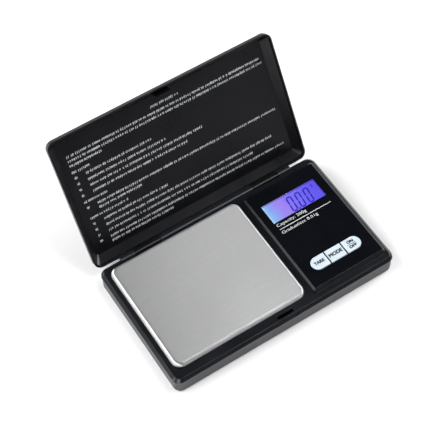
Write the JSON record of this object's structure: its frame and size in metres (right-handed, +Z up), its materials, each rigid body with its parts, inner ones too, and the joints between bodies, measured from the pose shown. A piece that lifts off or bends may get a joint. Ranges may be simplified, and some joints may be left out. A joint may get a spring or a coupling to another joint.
{
  "type": "pocket gram scale",
  "caption": "Pocket digital gram scale: shallow box base with brushed steel weighing platform, backlit display console with keys, and a tray-shaped lid hinged open along the back",
  "frame": {"origin": "Middle of the whole outline in plan with the lid standing open, on the plane the four rubber feet stand on. The middle of the base (the lower shell's 127 x 73.4 mm outline) is 21.3 mm in front of it.", "axes": "+X along the hinge towards the display side, +Y from the front edge towards the hinge, +Z up."},
  "size_m": [0.1276, 0.1166, 0.0713],
  "materials": {
    "shell_black": "injection-moulded ABS, fine spark texture",
    "cover_black": "injection-moulded ABS, satin",
    "lid_black": "injection-moulded ABS, satin inside, fine texture outside",
    "console_gloss": "printed polycarbonate overlay, semi-gloss",
    "lens_clear": "clear acrylic window, polished",
    "display_glass": "clear liquid-crystal cell glass",
    "polariser_film": "polariser film lit violet-blue from behind",
    "frame_black": "moulded display frame",
    "connector_rubber": "layered elastomer connector",
    "light_guide_white": "light guide, lit blue-white",
    "led_body": "side-view LED package",
    "board_green": "glass-epoxy board with green solder resist",
    "chip_black": "moulded epoxy package",
    "crystal_can": "nickel-plated can",
    "chip_tan": "ceramic chip parts",
    "switch_metal": "pressed steel switch bodies",
    "key_white": "moulded pale keys with printed legends",
    "platform_steel": "stainless sheet, fine brushed grain along the hinge",
    "carrier_black": "moulded ABS carrier",
    "tape_white": "double-sided foam tape",
    "cell_aluminium": "machined aluminium alloy",
    "gauge_amber": "polyimide foil gauges",
    "wire_red": "thin insulated lead",
    "screw_steel": "zinc-plated steel screws",
    "coin_steel": "nickel-plated steel can",
    "contact_steel": "nickel-plated spring strip",
    "feet_rubber": "soft rubber pads",
    "pin_steel": "ground steel pin"
  },
  "bodies": {
    "base": {"bottom_shell": "shell_black", "top_cover": "cover_black", "display_panel": "console_gloss", "display_lens": "lens_clear", "lcd_front_glass": "display_glass", "lcd_rear_glass": "display_glass", "lcd_polarisers": "polariser_film", "lcd_frame": "frame_black", "connector_strip": "connector_rubber", "light_guide": "light_guide_white", "backlight_leds": "led_body", "circuit_board": "board_green", "controller_chip": "chip_black", "converter_chip": "chip_black", "quartz_crystal": "crystal_can", "board_components": "chip_tan", "key_switches": "switch_metal", "load_cell": "cell_aluminium", "strain_gauges": "gauge_amber", "load_cell_wires": "wire_red", "load_cell_screws": "screw_steel", "case_screws": "screw_steel", "board_screws": "screw_steel", "coin_cells": "coin_steel", "cell_springs": "contact_steel", "cell_side_contacts": "contact_steel", "rubber_feet": "feet_rubber", "hinge_pins": "pin_steel"},
    "lid": {"lid": "lid_black"},
    "platform": {"weighing_platform": "platform_steel", "platform_carrier": "carrier_black", "mounting_pads": "tape_white", "carrier_screws": "screw_steel"},
    "tare_button": {"tare_key": "key_white"},
    "mode_button": {"mode_key": "key_white"},
    "power_button": {"power_key": "key_white"},
    "door": {"battery_door": "shell_black"}
  },
  "joints": [
    {"name": "lid_hinge", "type": "hinge", "parent": "base", "child": "lid", "pos_m": [0, 0.01566, 0.00874], "axis": [1, 0, 0], "range_deg": [0, 119.8]},
    {"name": "platform_press", "type": "slide", "parent": "base", "child": "platform", "axis": [0, 0, -1], "range_m": [0, 0.0004], "stiffness_N_per_m": 6500},
    {"name": "tare_press", "type": "slide", "parent": "base", "child": "tare_button", "axis": [0, 0, -1], "range_m": [0, 0.0005], "stiffness_N_per_m": 1500},
    {"name": "mode_press", "type": "slide", "parent": "base", "child": "mode_button", "axis": [0, 0, -1], "range_m": [0, 0.0005], "stiffness_N_per_m": 1500},
    {"name": "power_press", "type": "slide", "parent": "base", "child": "power_button", "axis": [0, 0, -1], "range_m": [0, 0.0005], "stiffness_N_per_m": 1500},
    {"name": "door_slide", "type": "slide", "parent": "base", "child": "door", "axis": [1, 0, 0], "range_m": [0, 0.036]}
  ]
}
